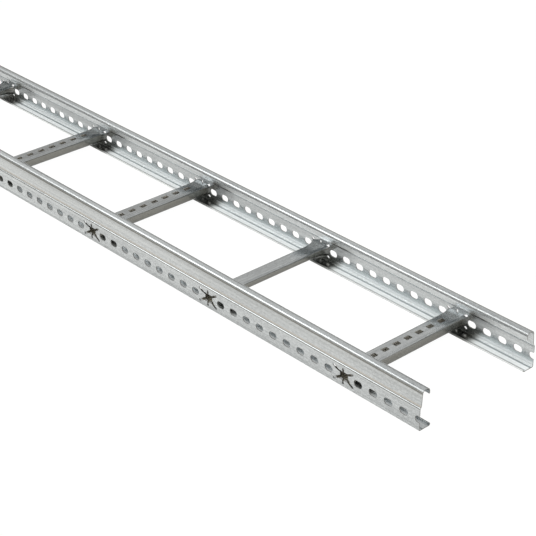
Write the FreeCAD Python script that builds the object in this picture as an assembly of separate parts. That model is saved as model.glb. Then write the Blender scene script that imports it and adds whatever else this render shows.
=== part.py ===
import FreeCAD, Part
import math
import os

os.makedirs("parts", exist_ok=True)

# A straight cable ladder section of galvanised steel: two roll-formed side rails joined by twelve
# hollow rungs. X runs along the rails, Y across them, Z up. The bottom flanges lie on Z = 0.
# All sizes are in millimetres.
length = 3000.0
clear_width = 200.0

# Side rail, as its profile is seen on the cut end
rail_sheet = 1.25
rail_height = 55.0
flange_depth = 18.8
lip_height = 3.4
flange_bend = 1.4

# Above the hole row the web steps inwards, first steeply and then gently, and then leans in a little
step_bottom = 30.3
step_knee = 31.6
step_top = 34.2
knee_inward = 1.3
step_inward = 2.1
lean_inward = 1.6
step_bottom_bend = 1.2
step_knee_bend = 3.0
step_top_bend = 4.0

# The rounded bead on top: the crown and the leg that turns down inside
crown_bend = 5.6
bead_width = 11.9
leg_lean = 0.8
leg_bottom = 45.5

# Row of slots along each web. A slot is cut in half by each rail end.
slot_pitch = 25.0
slot_length = 14.0
slot_height = 9.5
slot_row = 16.0

# Rungs, level with the row of slots. Every third one, from the second on, is plain and slimmer;
# the others have holes on top.
rung_spacing = 250.0
rung_sheet = 1.2
rung_corner = 3.5
rung_width = 26.0
rung_height = 14.5
plain_width = 22.0
plain_height = 11.0
plain_every = 3
plain_start = 2

# Holes in the top of a rung
hole_count = 8
hole_pitch = 20.0
hole_length = 10.0
hole_width = 7.5
hole_corner = 1.0

# The flared mouth at each end of a rung, which bears on the web
mouth_width = 34.0
mouth_height = 16.4
mouth_corner = 6.0
flare_length = 21.0
flare_steps = ((0.0, 0.0), (0.45, 0.16), (0.8, 0.55), (1.0, 1.0))

# The star joint: three slits cross in a slot's middle, and the six petals between them are
# pressed into the mouth of the rung as a shallow dish
slit_width = 3.2
long_slit_reach = 20.0
long_slit_angle = 29.5
upright_slit_reach = 11.5
dish_width = 28.0
dish_height = 12.5
dish_corner = 4.5
dish_depth = 1.5
petal_tip_land = 0.4

# Places that follow from the sizes above
web_face = clear_width / 2 + rail_sheet
web_inside = clear_width / 2
slot_count = round(length / slot_pitch)
rung_count = round(length / rung_spacing)
first_rung = -length / 2 + rung_spacing / 2
rung_places = [first_rung + rung_spacing * i for i in range(rung_count)]
cut_margin = 1.0


def strip_side(points, bends, offset):
    """Edges of one face of a bent strip, at a distance from its middle line of (y, z) points."""
    edges = []
    start = None
    for i, (point, bend) in enumerate(zip(points, bends)):
        here = FreeCAD.Vector(0, *point)
        ways = []
        if i > 0:
            ways.append((here - FreeCAD.Vector(0, *points[i - 1])).normalize())
        if i < len(points) - 1:
            ways.append((FreeCAD.Vector(0, *points[i + 1]) - here).normalize())
        sides = [FreeCAD.Vector(0, -way.z, way.y) for way in ways]
        if len(ways) == 1:
            end = here + sides[0] * offset
            if start is not None:
                edges.append(Part.makeLine(start, end))
            start = end
            continue
        turn = math.copysign(1.0, ways[0].cross(ways[1]).x)
        half_angle = ways[0].getAngle(ways[1]) / 2
        reach = bend * math.tan(half_angle)
        arc_start = here - ways[0] * reach + sides[0] * offset
        arc_end = here + ways[1] * reach + sides[1] * offset
        outward = (ways[0] - ways[1]).normalize()
        centre = here - outward * (bend / math.cos(half_angle))
        arc_middle = centre + outward * (bend - turn * offset)
        edges.append(Part.makeLine(start, arc_start))
        edges.append(Part.Arc(arc_start, arc_middle, arc_end).toShape())
        start = arc_end
    return edges


def strip_section(points, bends, sheet):
    """Section of a sheet bent along a middle line, as a face in the YZ plane."""
    left = strip_side(points, bends, sheet / 2)
    right = strip_side(points, bends, -sheet / 2)
    first = Part.makeLine(left[0].firstVertex().Point, right[0].firstVertex().Point)
    last = Part.makeLine(left[-1].lastVertex().Point, right[-1].lastVertex().Point)
    return Part.Face(Part.Wire(Part.__sortEdges__(left + [last] + right + [first])))


def rail_profile():
    """Middle line of the rail's sheet, from the lip on the bottom flange round to the bead's leg."""
    half = rail_sheet / 2
    web = -web_face + half
    upper_web = web + step_inward
    bead_start = upper_web + lean_inward
    bead_end = bead_start + bead_width
    crown = rail_height - half
    points = [
        (-web_face + flange_depth - half, lip_height),
        (-web_face + flange_depth - half, half),
        (web, half),
        (web, step_bottom),
        (web + knee_inward, step_knee),
        (upper_web, step_top),
        (bead_start, crown),
        (bead_end, crown),
        (bead_end - leg_lean, leg_bottom),
    ]
    bends = [0, flange_bend, flange_bend, step_bottom_bend, step_knee_bend, step_top_bend,
             crown_bend, crown_bend, 0]
    return strip_section(points, bends, rail_sheet)


def obround(x, z, slot, height, depth, angle=0.0):
    """A slot cutter through the web, with round ends, turned about its middle."""
    reach = slot / 2 - height / 2
    radius = height / 2
    corners = [FreeCAD.Vector(side_x * reach, 0, side_z * radius)
               for side_x, side_z in ((-1, -1), (1, -1), (1, 1), (-1, 1))]
    right_end = FreeCAD.Vector(slot / 2, 0, 0)
    edges = [
        Part.makeLine(corners[0], corners[1]),
        Part.Arc(corners[1], right_end, corners[2]).toShape(),
        Part.makeLine(corners[2], corners[3]),
        Part.Arc(corners[3], -right_end, corners[0]).toShape(),
    ]
    cutter = Part.Face(Part.Wire(edges)).extrude(FreeCAD.Vector(0, depth, 0))
    cutter.rotate(FreeCAD.Vector(), FreeCAD.Vector(0, 1, 0), angle)
    cutter.translate(FreeCAD.Vector(x, -web_face - cut_margin, z))
    return cutter


def rounded_outline(width, height, corner, y, z):
    """Rounded rectangle across the rung's axis, as a wire in the plane Y = y."""
    x_in = width / 2 - corner
    z_in = height / 2 - corner
    slant = corner * math.sqrt(0.5)
    edges = []
    for side_x, side_z, next_x, next_z in ((1, 1, -1, 1), (-1, 1, -1, -1), (-1, -1, 1, -1), (1, -1, 1, 1)):
        along_x = FreeCAD.Vector(side_x * width / 2, y, z + side_z * z_in)
        middle = FreeCAD.Vector(side_x * (x_in + slant), y, z + side_z * (z_in + slant))
        along_z = FreeCAD.Vector(side_x * x_in, y, z + side_z * height / 2)
        if next_z == side_z:
            edges.append(Part.Arc(along_x, middle, along_z).toShape())
            edges.append(Part.makeLine(along_z, FreeCAD.Vector(next_x * x_in, y, along_z.z)))
        else:
            edges.append(Part.Arc(along_z, middle, along_x).toShape())
            edges.append(Part.makeLine(along_x, FreeCAD.Vector(along_x.x, y, z + next_z * z_in)))
    return Part.Wire(Part.__sortEdges__(edges))


def petal_dish(x, surface):
    """The shallow frustum between the rim of the pressed petals and their tips."""
    tip_width = slot_length + 2 * petal_tip_land
    tip_height = slot_height + 2 * petal_tip_land
    rim = rounded_outline(dish_width, dish_height, dish_corner, surface, slot_row)
    tips = rounded_outline(tip_width, tip_height, dish_corner, surface + dish_depth, slot_row)
    dish = Part.makeLoft([rim, tips], True, True)
    dish.translate(FreeCAD.Vector(x, 0, 0))
    return dish


def star_cutter(x, depth):
    """Slot and the three slits that cross in its middle, as one cutter."""
    cutter = obround(x, slot_row, slot_length, slot_height, depth)
    cuts = ((long_slit_reach, long_slit_angle), (long_slit_reach, -long_slit_angle), (upright_slit_reach, 90.0))
    for reach, angle in cuts:
        cutter = cutter.fuse(obround(x, slot_row, 2 * reach, slit_width, depth, angle))
    return cutter


def side_rail():
    """The rail on the -Y side, with its row of slots and the star joint at every rung."""
    rail = rail_profile().extrude(FreeCAD.Vector(length, 0, 0))
    rail.translate(FreeCAD.Vector(-length / 2, 0, 0))
    rail = rail.fuse([petal_dish(x, -web_inside) for x in rung_places])
    rail = rail.cut([petal_dish(x, -web_face) for x in rung_places])
    depth = rail_sheet + dish_depth + 2 * cut_margin
    cutters = [star_cutter(x, depth) for x in rung_places]
    for i in range(slot_count + 1):
        x = -length / 2 + slot_pitch * i
        if min(abs(x - place) for place in rung_places) > slot_pitch / 2:
            cutters.append(obround(x, slot_row, slot_length, slot_height, depth))
    return rail.cut(cutters)


def rung_body(width, height, inset):
    """Solid core of a rung between the two webs, drawn in by an inset: bar and two flared ends."""
    sections = []
    for along, opening in flare_steps:
        grown_width = width + (mouth_width - width) * opening - 2 * inset
        grown_height = height + (mouth_height - height) * opening - 2 * inset
        grown_corner = rung_corner + (mouth_corner - rung_corner) * opening - inset
        y = web_inside - flare_length * (1 - along)
        sections.append(rounded_outline(grown_width, grown_height, grown_corner, y, slot_row))
    flare = Part.makeLoft(sections, True, False)
    straight = 2 * (web_inside - flare_length)
    bar = Part.Face(sections[0]).extrude(FreeCAD.Vector(0, -straight, 0))
    other = flare.mirror(FreeCAD.Vector(), FreeCAD.Vector(0, 1, 0))
    return bar.fuse([flare, other])


def hole_cutter(y):
    """Cutter for one rectangular hole in the top of a rung."""
    block = Part.makeBox(hole_width, hole_length, rung_height)
    block.translate(FreeCAD.Vector(-hole_width / 2, y - hole_length / 2, slot_row))
    upright = [edge for edge in block.Edges if abs(edge.tangentAt(0).z) > 0.5]
    return block.makeFillet(hole_corner, upright)


def rung(width, height, holes):
    """A rung in the middle of the ladder, with holes along its top or none."""
    tube = rung_body(width, height, 0.0).cut(rung_body(width, height, rung_sheet))
    middle = (holes - 1) / 2
    cutters = [hole_cutter(hole_pitch * (i - middle)) for i in range(holes)]
    return tube.cut(cutters) if cutters else tube


def write(name, shape):
    """Write one piece as a single solid."""
    solid = shape.removeSplitter().Solids[0]
    solid.exportStep(os.path.join("parts", name + ".step"))


near_rail = side_rail()
write("side_rail_left", near_rail)
write("side_rail_right", near_rail.mirror(FreeCAD.Vector(), FreeCAD.Vector(0, 1, 0)))

slotted_rung = rung(rung_width, rung_height, hole_count)
plain_rung = rung(plain_width, plain_height, 0)
for number, place in enumerate(reversed(rung_places), start=1):
    is_plain = number % plain_every == plain_start
    piece = (plain_rung if is_plain else slotted_rung).copy()
    piece.translate(FreeCAD.Vector(place, 0, 0))
    write(f"rung_{number:02d}", piece)
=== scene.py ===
import bpy
from mathutils import Matrix, Vector

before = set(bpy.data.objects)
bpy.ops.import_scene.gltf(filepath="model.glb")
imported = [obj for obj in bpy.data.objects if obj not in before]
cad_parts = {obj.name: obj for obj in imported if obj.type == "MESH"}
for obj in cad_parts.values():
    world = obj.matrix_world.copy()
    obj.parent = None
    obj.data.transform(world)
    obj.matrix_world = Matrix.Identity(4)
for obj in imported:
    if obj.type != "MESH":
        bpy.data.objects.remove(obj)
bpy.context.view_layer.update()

# Side rails: two strips of zinc-coated steel sheet, roll-formed as mirror images. The strip runs lengthwise
# through the rolls, so drawn lines and long streaks run along the rail, over faint zinc spangles. The slots
# and the star joints are punched, and their walls and the sawn ends are dull, where the coating is thin.
rung_spacing = 0.25
slot_row = 0.016
slot_band = 0.0135
slot_band_edge = 0.001

# Each mark along a rail has a place, a half width with its soft edge and a half width without
line_under_bead = (0.0500, 0.0011, 0.0003)
line_over_slots = (0.0306, 0.0008, 0.0003)
step_highlight_band = (0.0333, 0.0016, 0.0006)
painted_web_foot_highlight = (0.0038, 0.0038, 0.0020)
painted_flange_highlight = (0.0904, 0.0050, 0.0012)
web_shade_band = (0.0103, 0.0034, 0.0014)
outer_flange_shade = (0.0961, 0.0019, 0.0008)
inner_flange_shade = (0.0868, 0.0012, 0.0005)
joint_shadow_band = (0.012, 0.034, 0.010)

# Colours, and how strongly each mark covers the coat
zinc_dark = (0.45, 0.475, 0.487, 1)
zinc_light = (0.74, 0.776, 0.793, 1)
# Grey of the painted shade lines at the foot of the bead and of the step
painted_line_grey = (0.24, 0.25, 0.24, 1)
painted_line_strength = 0.75
over_slots_share = 0.8
highlight_band_white = (0.94, 0.98, 0.99, 1)
highlight_band_strength = 0.9
web_shade_grey = (0.30, 0.355, 0.35, 1)
web_shade_strength = 0.3
flange_shade_grey = (0.20, 0.235, 0.245, 1)
outer_shade_strength = 0.9
inner_shade_strength = 0.3
joint_shadow_brown = (0.17, 0.165, 0.14, 1)
joint_shadow_strength = 0.65
step_highlight_white = (0.97, 0.975, 0.97, 1)
step_highlight_strength = 0.75
cut_steel = (0.38, 0.385, 0.38, 1)

zinc_metallic = 0.92
highlight_band_matt = 0.6
strip_roughness = 0.20
cut_roughness = 0.3
strip_relief = 0.000006


class Socket:
    """A shader socket that adds Math nodes when it is used in an expression."""

    def __init__(self, finish, link):
        self.finish = finish
        self.link = link

    def math(self, operation, *values):
        return self.finish.node("ShaderNodeMath", {"operation": operation}, dict(enumerate(values)))

    def __add__(self, other):
        return self.math("ADD", self, other)

    def __radd__(self, other):
        return self.math("ADD", other, self)

    def __sub__(self, other):
        return self.math("SUBTRACT", self, other)

    def __rsub__(self, other):
        return self.math("SUBTRACT", other, self)

    def __mul__(self, other):
        return self.math("MULTIPLY", self, other)

    def __rmul__(self, other):
        return self.math("MULTIPLY", other, self)

    def __abs__(self):
        return self.math("ABSOLUTE", self)

    def larger(self, other):
        """The larger of two values."""
        return self.math("MAXIMUM", self, other)

    def step(self, low, high):
        """0 below low and 1 above high, smooth between them. With low above high it falls."""
        start, end = (0.0, 1.0) if low < high else (1.0, 0.0)
        values = (self, min(low, high), max(low, high), start, end)
        return self.finish.node("ShaderNodeMapRange", {"interpolation_type": "SMOOTHSTEP"},
                                dict(enumerate(values)))

    def mark(self, place, soft, core):
        """1 within the core of a place and 0 beyond its soft edge."""
        return abs(self - place).step(soft, core)

    def sway(self, amount):
        """How far a noise is from its middle, made as strong as the amount."""
        return (self - 0.5) * amount

    def from_nearest(self, spacing):
        """Distance from the nearest of places that are a spacing apart, the first at half of it."""
        return self.math("WRAP", self + spacing / 2, spacing / 2, -spacing / 2)


class Finish:
    """The nodes of a material or of the world, built one node at a time."""

    def __init__(self, owner):
        self.owner = owner
        owner.use_nodes = True
        self.tree = owner.node_tree
        self.tree.nodes.clear()

    def node(self, kind, settings=None, sockets=None, output=0):
        """Adds a node: its settings first, then the values or links of its sockets by name or number."""
        node = self.tree.nodes.new(kind)
        for key, value in (settings or {}).items():
            setattr(node, key, value)
        for key, value in (sockets or {}).items():
            if isinstance(value, Socket):
                self.tree.links.new(value.link, node.inputs[key])
            else:
                node.inputs[key].default_value = value
        return Socket(self, node.outputs[output]) if node.outputs else None

    def place(self, scale=(1, 1, 1)):
        """Object coordinates, stretched by a scale for each axis."""
        where = self.node("ShaderNodeTexCoord", output="Object")
        return self.node("ShaderNodeMapping", sockets={"Vector": where, "Scale": scale})

    def axes(self, vector):
        """The x, y and z of a vector as three sockets."""
        return [self.node("ShaderNodeSeparateXYZ", sockets={"Vector": vector}, output=i) for i in range(3)]

    def facing(self):
        """The x, y and z of the way that the surface faces."""
        return self.axes(self.node("ShaderNodeNewGeometry", output="Normal"))

    def noise(self, scale, detail):
        """Noise between about 0.3 and 0.7, with a scale for each axis in features a metre."""
        sockets = {"Vector": self.place(scale), "Scale": 1.0, "Detail": detail}
        return self.node("ShaderNodeTexNoise", sockets=sockets)

    def spangles(self, scale):
        """A value of its own for each zinc crystal, with a scale for each axis in crystals a metre."""
        sockets = {"Vector": self.place(scale), "Scale": 1.0}
        return self.axes(self.node("ShaderNodeTexVoronoi", sockets=sockets, output="Color"))[0]

    def mix_colour(self, amount, low, high):
        """Colour that goes from low to high with the amount."""
        return self.node("ShaderNodeMix", {"data_type": "RGBA"}, {0: amount, 6: low, 7: high}, output=2)

    def metal(self, colour, metallic, roughness, height, depth):
        """Bare metal surface with its relief, as the material's output."""
        normal = self.node("ShaderNodeBump", sockets={"Strength": 1.0, "Distance": depth, "Height": height})
        surface = self.node("ShaderNodeBsdfPrincipled", sockets={
            "Base Color": colour, "Metallic": metallic, "Roughness": roughness, "Normal": normal})
        self.node("ShaderNodeOutputMaterial", sockets={"Surface": surface})

    def cover(self, piece):
        """Gives this finish alone to a piece."""
        piece.data.materials.clear()
        piece.data.materials.append(self.owner)


strip = Finish(bpy.data.materials.new("galvanised_strip"))
x, y, z = strip.axes(strip.place())
across = abs(y)
facing_x, _, facing_z = strip.facing()
drawn_lines = strip.noise((1.5, 420, 420), 3.0)
long_streaks = strip.noise((0.8, 120, 120), 3.0)
spangle = strip.spangles((260, 420, 420))
grain = strip.noise((260, 560, 560), 1.0)
bloom = strip.noise((5, 18, 18), 2.0)
lightness = (0.5 + drawn_lines.sway(1.1) + long_streaks.sway(1.0) + spangle.sway(0.1)
             + grain.sway(0.8) + bloom.sway(0.5))
coat = strip.mix_colour(lightness.step(0.0, 1.0), zinc_dark, zinc_light)

# Painted shade: dark lines at the foot of the bead and at the foot of the step, where the bends turn away
# from the light
outside_bead = across.step(0.0955, 0.0965)
painted_dark_lines = z.mark(*line_under_bead) * outside_bead + z.mark(*line_over_slots) * over_slots_share
coat = strip.mix_colour(painted_dark_lines * painted_line_strength, coat, painted_line_grey)

# Painted highlights: bright bands on the right rail's flange and along the foot of its web, which stop at
# each joint
flange = z.step(0.0016, 0.0013)
inner_face = across.step(0.1009, 0.1005)
low_on_web = z.step(0.016, 0.008)
right_rail = y.step(-0.01, 0.01)
# Where the painted shadow of each rung's flared end falls, low on the inner web and on the flange
painted_joint_shadow = x.from_nearest(rung_spacing).mark(*joint_shadow_band) * inner_face * low_on_web
painted_highlight_bands = flange * across.mark(*painted_flange_highlight) + inner_face * z.mark(*painted_web_foot_highlight)
painted_highlight_bands = painted_highlight_bands * right_rail * (1.0 - painted_joint_shadow)
coat = strip.mix_colour(painted_highlight_bands * highlight_band_strength, coat, highlight_band_white)

# Painted shade as a dull band below the slots and as two dark lines along the flange, and painted shadow
# round each joint
coat = strip.mix_colour(inner_face * z.mark(*web_shade_band) * web_shade_strength, coat, web_shade_grey)
# Painted shade: dark lines along the flange, one near the web and one near the lip
outer_shade = across.mark(*outer_flange_shade) * outer_shade_strength
inner_shade = across.mark(*inner_flange_shade) * inner_shade_strength
coat = strip.mix_colour(flange * (outer_shade + inner_shade), coat, flange_shade_grey)
# Painted shadow round each joint
coat = strip.mix_colour(painted_joint_shadow * joint_shadow_strength, coat, joint_shadow_brown)

# Painted highlight along the top of the step
outside_step = across.step(0.0975, 0.0980)
painted_step_highlight = z.mark(*step_highlight_band) * outside_step
coat = strip.mix_colour(painted_step_highlight * step_highlight_strength, coat, step_highlight_white)

# Walls of the slots and slits, and the sawn ends
in_row = z.mark(slot_row, slot_band, slot_band - slot_band_edge)
cut = (abs(facing_x) + in_row * abs(facing_z)).step(0.45, 0.8)
colour = strip.mix_colour(cut, coat, cut_steel)
# The painted highlight bands are also made less metallic
metallic = zinc_metallic - painted_highlight_bands * highlight_band_matt
roughness = strip_roughness + grain.sway(0.1) + long_streaks.sway(0.25) + cut * cut_roughness
strip.metal(colour, metallic, roughness, drawn_lines * 0.4 + grain * 0.2, strip_relief)
for name in ("side_rail_left", "side_rail_right"):
    strip.cover(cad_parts[name])

# Rungs: hollow bars rolled from the same kind of sheet, twelve of them. Eight rectangular holes are punched
# along the top of most, and every third has none. Their ends are flared and clinched into the rails' webs.
# The strip was rolled along the rung, so its drawn lines run across the ladder.
tube_dark = (0.43, 0.452, 0.462, 1)
tube_light = (0.68, 0.71, 0.722, 1)
side_shade_grey = (0.19, 0.186, 0.162, 1)
side_shade_strength = 0.8
hole_wall_grey = (0.46, 0.45, 0.42, 1)
flare_shadow_brown = (0.13, 0.12, 0.10, 1)
flare_shadow_strength = 0.65
lining_middle = (0.74, 0.73, 0.69, 1)
shaded_lining_end = (0.27, 0.26, 0.21, 1)
tube_roughness = 0.24
lining_roughness = 0.4
lining_matt = 0.85
tube_relief = 0.000012

tube = Finish(bpy.data.materials.new("galvanised_tube"))
x, y, z = tube.axes(tube.place())
facing_x, facing_y, facing_z = tube.facing()
drawn_lines = tube.noise((420, 9, 420), 4.0)
bloom = tube.noise((22, 12, 22), 3.0)
grain = tube.noise((1900, 1900, 1900), 1.0)
spangle = tube.spangles((420, 260, 420))
lightness = 0.5 + drawn_lines.sway(0.9) + spangle.sway(0.2) + grain.sway(0.5) + bloom.sway(1.0)
coat = tube.mix_colour(lightness.step(0.0, 1.0), tube_dark, tube_light)

# Painted shade on the sides, the walls of the holes, and painted shadow on the sides of the flares, darkest
# at the joint
painted_side_shade = abs(facing_x).step(0.86, 0.985)
hole_walls = abs(facing_y).step(0.75, 0.95)
near_end = abs(y).step(0.080, 0.094)
# Painted shadow on the sides of the flared ends, darkest next to the web
painted_flare_shadow = near_end * facing_z.step(0.75, 0.35)
coat = tube.mix_colour(painted_side_shade * side_shade_strength, coat, side_shade_grey)
coat = tube.mix_colour(hole_walls, coat, hole_wall_grey)
coat = tube.mix_colour(painted_flare_shadow * flare_shadow_strength, coat, flare_shadow_brown)

# The lining of the tube, whose faces look at the rung's own axis, with painted shade that darkens it towards
# the flared ends
from_axis = x.from_nearest(rung_spacing)
inside = (facing_x * from_axis + facing_z * (z - slot_row)).step(-0.001, -0.003)
colour = tube.mix_colour(inside, coat, tube.mix_colour(near_end, lining_middle, shaded_lining_end))
metallic = zinc_metallic - inside * lining_matt
roughness = tube_roughness + grain.sway(0.2) + bloom.sway(0.25) + inside * lining_roughness
tube.metal(colour, metallic, roughness, drawn_lines * 0.5 + grain * 0.3, tube_relief)
for name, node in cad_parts.items():
    if name.startswith("rung_"):
        tube.cover(node)

# Floor: a wide sheet of white paper. It shows white to the camera and faintly in reflections, and keeps part
# of the shadow under the ladder. Away from the ladder it is darker and warmer in the light that it returns.
floor_size = 40
paper_near = (0.82, 0.805, 0.78, 1)
paper_away = (0.42, 0.38, 0.32, 1)
white_to_camera = 0.88
white_in_reflections = 0.15
white_through_glass = 0.8
white_strength = 1.1

bpy.ops.mesh.primitive_plane_add(size=floor_size)
floor = bpy.context.object
floor.name = "studio_floor"
paper = Finish(bpy.data.materials.new("white_paper"))
to_camera, in_reflection, through_glass = [
    paper.node("ShaderNodeLightPath", output=kind)
    for kind in ("Is Camera Ray", "Is Glossy Ray", "Is Transmission Ray")]
seen = (to_camera * white_to_camera).larger(in_reflection * white_in_reflections)
seen = seen.larger(through_glass * white_through_glass)
x, y, _ = paper.axes(paper.place())
beside = abs(y).step(0.155, 0.225)
past_ends = abs(x).step(1.7, 2.2)
tone = paper.mix_colour(beside.larger(past_ends), paper_near, paper_away)
shaded = paper.node("ShaderNodeBsdfDiffuse", sockets={"Color": tone})
white = paper.node("ShaderNodeEmission", sockets={"Color": (1, 1, 1, 1), "Strength": white_strength})
both = paper.node("ShaderNodeMixShader", sockets={0: seen, 1: shaded, 2: white})
paper.node("ShaderNodeOutputMaterial", sockets={"Surface": both})
paper.cover(floor)

# Studio: a soft sky for the metal to mirror, brightest a third of the way up, and white behind the object.
# A wide sun and a lamp overhead light the metal without showing in it. A soft lamp on the left does show.
low_sky = 0.34
sky_rise = 0.5
sky_fall = 0.3
near_gain = 0.5
low_warmth = (1.0, 0.975, 0.93, 1)
high_warmth = (1.0, 0.988, 0.965, 1)

world = bpy.data.worlds.new("studio")
bpy.context.scene.world = world
sky = Finish(world)
_, along_y, height = sky.axes(sky.node("ShaderNodeTexCoord", output="Generated"))
risen = height.step(0.40, 0.56)
overhead = height.step(0.52, 0.75)
near_side = (0 - along_y).step(0.05, 0.5) * height.step(0.34, 0.46) * height.step(0.74, 0.58)
level = low_sky + risen * sky_rise - overhead * sky_fall + near_side * near_gain
seen = sky.node("ShaderNodeLightPath", output="Is Camera Ray")
warmth = sky.mix_colour(height.step(0.42, 0.56), low_warmth, high_warmth)
colour = sky.mix_colour(seen, warmth, (1, 1, 1, 1))
strength = level + seen * (1.0 - level)
background = sky.node("ShaderNodeBackground", sockets={"Color": colour, "Strength": strength})
sky.node("ShaderNodeOutputWorld", sockets={"Surface": background})


def add_lamp(name, kind, energy, place, aim, mirrored, **shape):
    """Adds a lamp at a place, turned towards its aim. The metal mirrors it or doesn't."""
    light = bpy.data.lights.new(name, kind)
    light.energy = energy
    for key, value in shape.items():
        setattr(light, key, value)
    lamp = bpy.data.objects.new(name, light)
    bpy.context.scene.collection.objects.link(lamp)
    lamp.visible_glossy = mirrored
    lamp.location = place
    lamp.rotation_euler = (Vector(aim) - Vector(place)).to_track_quat("-Z", "Y").to_euler()


near_half = (0.9, 0, 0)
add_lamp("window", "SUN", energy=1.3, place=(0, 0, 0), aim=(0.62, 0.45, -0.64), mirrored=False, angle=0.4)
add_lamp("soft_lamp", "AREA", energy=10.0, place=(-1.9, -2.4, 2.7), aim=near_half, mirrored=True, size=1.5)
add_lamp("overhead_lamp", "AREA", energy=17.0, place=(1.6, 0.0, 2.6), aim=near_half, mirrored=False, size=1.8)

# Camera: above and in front of the near end, looking down along the rails. Its place, turn and lens were
# worked out from the slots, the long edges and the rail ends.
camera_place = Vector((2.54973, -1.2738, 1.09937))
back = Vector((0.64859722, -0.58147552, 0.49112917)).normalized()
picture_up = Vector((-0.36139473, 0.33261535, 0.87106881))
right = picture_up.cross(back).normalized()
up = back.cross(right)

camera_data = bpy.data.cameras.new("camera")
camera_data.sensor_width = 36
camera_data.lens = 111.022
camera = bpy.data.objects.new("camera", camera_data)
bpy.context.scene.collection.objects.link(camera)
bpy.context.scene.camera = camera
camera.matrix_world = Matrix((
    (right.x, up.x, back.x, camera_place.x),
    (right.y, up.y, back.y, camera_place.y),
    (right.z, up.z, back.z, camera_place.z),
    (0, 0, 0, 1),
))

bpy.context.scene.view_settings.view_transform = "Standard"
